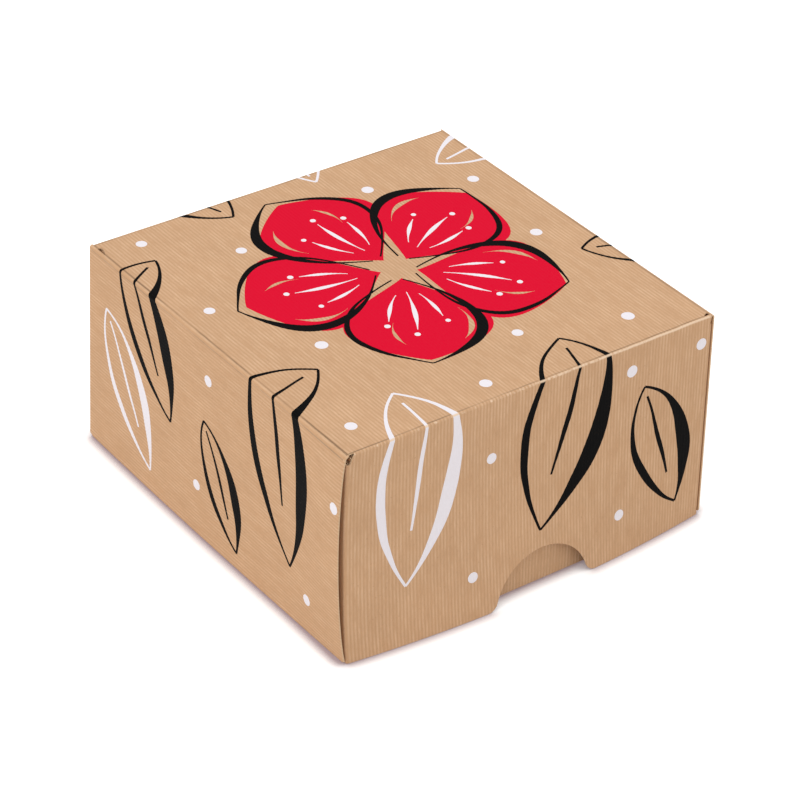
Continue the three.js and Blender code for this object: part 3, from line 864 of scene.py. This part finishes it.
blossom = {
    "centre": (4.0, 6.0), "count": 5, "turn": 0.5,
    "inner": 6.5, "outer": 57.0, "halfWidth": 25.0, "swell": 1.3, "blunt": 0.85, "steps": 36,
    "outlineShift": (-1.2, 1.0),  # the black is printed a little off the red
}
petalTip = (blossom["outer"] + 2.5, 1.5)  # where the outlines meet, just past the red
petalLines = {  # strokes on a petal towards +X: start, its handle, the end's handle, end, line
    "gaps": [
        ((27, 15), (33.5, 19), (40.5, 18.5), (46, 13.5), 2),
        ((33.5, -8), (38, -9.6), (42.5, -9), (47, -6.2), 1.3),
    ],
    "outlines": [
        ((8, 2), (25, 26.5), (45, 33), petalTip, 3.9),
        ((8, -2), (27, -28.5), (45, -30.5), petalTip, 2.1),
    ],
    "veins": [
        ((15.5, 0), (22, 0.7), (30, 0.5), (38.5, -0.7), 1.7),
        ((17, 3.9), (21, 6.1), (26, 8), (31.5, 9), 1.4),
        ((17, -3.9), (21, -6.4), (27, -8.4), (32.5, -9.3), 1.4),
    ],
}
petalBrushes = {
    "gaps": dict(brush, thin=0.1, wobble=0.6), "outlines": dict(brush, thin=0.6),
    "veins": dict(brush, thin=0.3, wobble=0.8),
}


def petalLoop(look):
    # a round-ended petal towards +X
    inner, outer, steps = look["inner"], look["outer"], look["steps"]
    shares = [(1 - math.cos(math.pi * i / steps)) / 2 for i in range(1, steps)]
    side = [(inner + (outer - inner) * t,
             look["halfWidth"] * math.sin(math.pi * t ** look["swell"]) ** look["blunt"]) for t in shares]
    return [(inner, 0.0)] + [(x, -y) for x, y in side] + [(outer, 0.0)] + side[::-1]


def ringLoops(loops, look, shift=(0.0, 0.0)):
    mesh = bpy.data.meshes.new("outline")
    corners, faces = [], []
    for loop in loops:
        faces.append(list(range(len(corners), len(corners) + len(loop))))
        corners += [(x * mm, y * mm, 0.0) for x, y in loop]
    mesh.from_pydata(corners, [], faces)
    centre = [(c + d) * mm for c, d in zip(look["centre"], shift)]
    return faceLoops(shapedMesh(mesh, ringTree, {"Count": look["count"], "Start Angle": look["turn"],
                     "Centre": (*centre, 0.0)}))


dotLook = {"sides": 26, "uneven": 0.1, "seed": 4, "radius": 2.1, "stamen": 1.0}
stamens = [(41.5, -1.4), (34.5, 10.2), (35.5, -10.3)]
whiteDots = [
    (26, 54), (-34, 44), (-45, -19), (13, -48), (58, -1), (-64, 18), (-60, 66), (62, 40), (50, -60),
    (-14, -66), (-64, -62), (-94, -72), (-89, 2), (-134, 8), (-140, -56), (-18, -96), (-26, -138), (70, -84),
    (40, -84), (36, -138), (96, 4), (134, 50), (128, -66), (-66, 100), (-12, 114), (66, 84),
]


def dotLoops(dots, radius, look):
    mesh = bpy.data.meshes.new("dots")
    mesh.from_pydata([(x * mm, y * mm, 0.0) for x, y in dots], [], [])
    return faceLoops(shapedMesh(mesh, dotTree, {"Radius": radius * mm, "Sides": look["sides"],
                     "Uneven": look["uneven"], "Seed": look["seed"]}))


def drawPrint():
    # each ink's shapes, and the holes in them
    petals = ringLoops([petalLoop(blossom)], blossom)
    lines = {part: strokeLoops(strokes, petalBrushes[part]) for part, strokes in petalLines.items()}
    shapes = {ink: strokeLoops([stroke for leaf in group for stroke in leafStrokes(leaf, leafShape)], brush)
              for ink, group in leaves.items()}
    centres = dotLoops(stamens, dotLook["stamen"], dotLook)
    outlines = ringLoops(lines["outlines"], blossom, blossom["outlineShift"])
    return {
        "red": (petals, ringLoops(lines["gaps"], blossom)),
        "black": (outlines + shapes["black"], []),
        "white": (ringLoops(lines["veins"] + centres, blossom) + shapes["white"]
                  + dotLoops(whiteDots, dotLook["radius"], dotLook), []),
    }


def makeInk(name, look, half):
    # offset ink on uncoated kraft: thin and quite matt, it lets the ribs and a little of the fibre through
    material, tree, shader, blank = newMaterial(name, look)
    add = partial(addNode, tree)
    across, along = look["laySize"]
    stretch = add("Mapping", {"Vector": blank, "Scale": (1 / (across * mm), 1 / (along * mm), 0.0)})
    lay = add("TexNoise", {"Vector": stretch, "Scale": 1.0, "Detail": 4.0, "Roughness": 0.7})
    thin = add("MapRange", [lay, *look["layNoise"], 0.0, look["unevenness"]])
    colour = add("Mix", {0: thin, 6: linearColour(look["colour"]),
                 7: linearColour(look["worn"])}, data_type="RGBA")
    _, _, crack = creaseShadeAndCracks(tree, blank, half, creaseLook)
    crack = add("Math", [crack, creaseLook["crack"]], "MULTIPLY")
    colour = add("Mix", {0: crack, 6: colour.outputs[2],
                 7: linearColour(creaseLook["crackColour"])}, data_type="RGBA")
    tree.links.new(colour.outputs[2], shader.inputs["Base Color"])
    return material


redInk = {
    "colour": 0xE3042F, "worn": 0xDA1A3A, "unevenness": 0.2, "roughness": 0.7, "specular": 0.06,
    "laySize": (0.5, 3.0), "layNoise": (0.3, 0.7),  # its size across and along the ribs
    "lift": 0.02,  # the later inks lie higher
}
inkLooks = {
    "red": redInk,
    "black": dict(redInk, colour=0x050404, worn=0x110F0E, unevenness=0.3, specular=0.05, lift=0.035),
    "white": dict(redInk, colour=0xF6F1F7, worn=0xE9E0E0, unevenness=0.3, roughness=0.65, specular=0.2,
                  lift=0.05),
}
inkSizes = {
    "sunk": 0.02,  # its underside lies in the board
    "edgeGap": 0.5, "foldGap": 0.3,  # it stops this short of a wall's cut ends and corner folds
}


def inkCharts(half):
    # the parts of the blank that the print covers, and how each one is folded
    x, y = half["foldX"], half["foldY"]
    charts = [((-x, -y, x, y), 0, {"Bow": 0.0})]
    for turn in (0, 2, 1, 3):
        if turn in (0, 2):
            near, far, reach = x, half["rimStart"], half["halfDepth"] - inkSizes["edgeGap"]
        else:
            near, far, reach = y, half["endEdge"], half["cornerFold"] - inkSizes["foldGap"]
        low, high = (near, far) if turn < 2 else (-far, -near)
        box = (low, -reach, high, reach) if turn in (0, 2) else (-reach, low, reach, high)
        charts.append((box, turn, cornerSpring.get(turn, {})))
    return charts


def touching(rings, box):
    left, low, right, high = box
    return [ring for ring in rings if min(x for x, _ in ring) < right and max(x for x, _ in ring) > left
            and min(y for _, y in ring) < high and max(y for _, y in ring) > low]


def addInk(ink, loops, holes, half):
    look = inkLooks[ink]
    material = makeInk(f"offset_{ink}_ink", look, half)
    parts = []
    for box, turn, extra in inkCharts(half):
        here = touching(loops, box)
        if not here:
            continue
        left, low, right, high = box
        within = [(left, low), (right, low), (right, high), (left, high)]
        gaps = touching(holes, box)
        flat = cutFlat(f"{ink}_{turn}", here, half, look["lift"], -inkSizes["sunk"], gaps, within)
        parts.append(newObject(f"{ink}_part", foldMesh(flat, half, turn, (material,) * 3, **extra)))
    with bpy.context.temp_override(active_object=parts[0], selected_editable_objects=parts):
        bpy.ops.object.join()
    mesh = parts[0].data.copy()
    bpy.data.objects.remove(parts[0])
    addPiece(f"lid_print_{ink}", mesh, half)


for ink, (loops, holes) in drawPrint().items():
    addInk(ink, loops, holes, halves["lid"])
print("print laid on the lid")


# Camera, floor and light; the camera's place and the floor's reach are in metres
viewPoint = {
    "location": (-0.5371, -0.6999, 0.6252), "azimuth": -37.64, "elevation": 33.95, "roll": 2.44,
    "lens": 139.1, "sensor": 36.0,
}


def makeCamera(view):
    azimuth, elevation, roll = (math.radians(view[k]) for k in ("azimuth", "elevation", "roll"))
    level = math.cos(elevation)
    back = Vector((math.sin(azimuth) * level, -math.cos(azimuth) * level, math.sin(elevation)))
    right = Vector((0, 0, 1)).cross(back).normalized()
    up = back.cross(right)
    sine, cosine = math.sin(roll), math.cos(roll)
    leaned = (cosine * right + sine * up, cosine * up - sine * right, back)
    data = bpy.data.cameras.new("photo_camera")
    data.lens = view["lens"]
    data.sensor_width = view["sensor"]
    camera = newObject("photo_camera", data)
    camera.matrix_world = Matrix.Translation(view["location"]) @ Matrix(leaned).transposed().to_4x4()
    bpy.context.scene.camera = camera


studio = {
    "worldStrength": 0.87, "keyStrength": 0.65, "keyAngle": 50.0, "keyDirection": (1.0, 0.0, -0.9),
    "floorHalf": 2.0, "floorGlow": 0.5, "floorColour": 0xFAFAFA, "bounceColour": 0xE2DFDC,
    # the soft dark rim where the box meets the floor, darkest where only this share of the sky is open
    "shadowReach": 5.0, "shadowColour": 0x9C8C90, "shadowFull": 0.5,
}


def seenRays(tree):
    # 1 for what the camera sees, by itself, in a gloss or through glass
    rays = addNode(tree, "LightPath").outputs
    seen = addNode(tree, "Math", [rays["Is Camera Ray"], rays["Is Glossy Ray"]], "MAXIMUM")
    return addNode(tree, "Math", [seen, rays["Is Transmission Ray"]], "MAXIMUM")


def makeFloor(look):
    h = look["floorHalf"]
    mesh = bpy.data.meshes.new("studio_floor")
    mesh.from_pydata([(-h, -h, 0), (h, -h, 0), (h, h, 0), (-h, h, 0)], [], [(0, 1, 2, 3)])
    floor = newObject("studio_floor", mesh)
    # white seamless paper: burns out to white in the open and keeps the contact shadow
    material = bpy.data.materials.new("white_seamless_paper")
    material.use_nodes = True
    tree = material.node_tree
    tree.nodes.clear()
    add = partial(addNode, tree)
    near = add("AmbientOcclusion", {"Distance": look["shadowReach"] * mm}, samples=8)
    near = add("MapRange", [near.outputs["AO"], look["shadowFull"], 1.0])
    tint = add("Mix", {0: near, 6: linearColour(look["shadowColour"]),
               7: linearColour(look["floorColour"])}, data_type="RGBA").outputs[2]
    paper = add("BsdfDiffuse", {"Color": tint})
    glow = add("Emission", {"Color": tint, "Strength": look["floorGlow"]})
    shown = add("AddShader", [paper, glow])
    bounce = add("BsdfDiffuse", {"Color": linearColour(look["bounceColour"])})
    mixed = add("MixShader", [seenRays(tree), bounce, shown])
    add("OutputMaterial", [mixed])
    mesh.materials.append(material)


def makeLight(look):
    world = bpy.data.worlds.new("white_studio")
    bpy.context.scene.world = world
    world.use_nodes = True
    tree = world.node_tree
    tree.nodes.clear()
    fill, white = [addNode(tree, "Background", {"Color": linearColour(0xFFFFFF), "Strength": strength})
                   for strength in (look["worldStrength"], 1.0)]
    mixed = addNode(tree, "MixShader", [seenRays(tree), fill, white])
    addNode(tree, "OutputWorld", [mixed])
    lamp = bpy.data.lights.new("key_light", "SUN")
    lamp.energy = look["keyStrength"]
    lamp.angle = math.radians(look["keyAngle"])
    key = newObject("key_light", lamp)
    key.rotation_euler = Vector(look["keyDirection"]).to_track_quat("-Z", "Y").to_euler()


makeCamera(viewPoint)
makeFloor(studio)
makeLight(studio)
bpy.context.scene.view_settings.view_transform = "Standard"
print("camera, floor and light set")

bpy.context.view_layer.update()
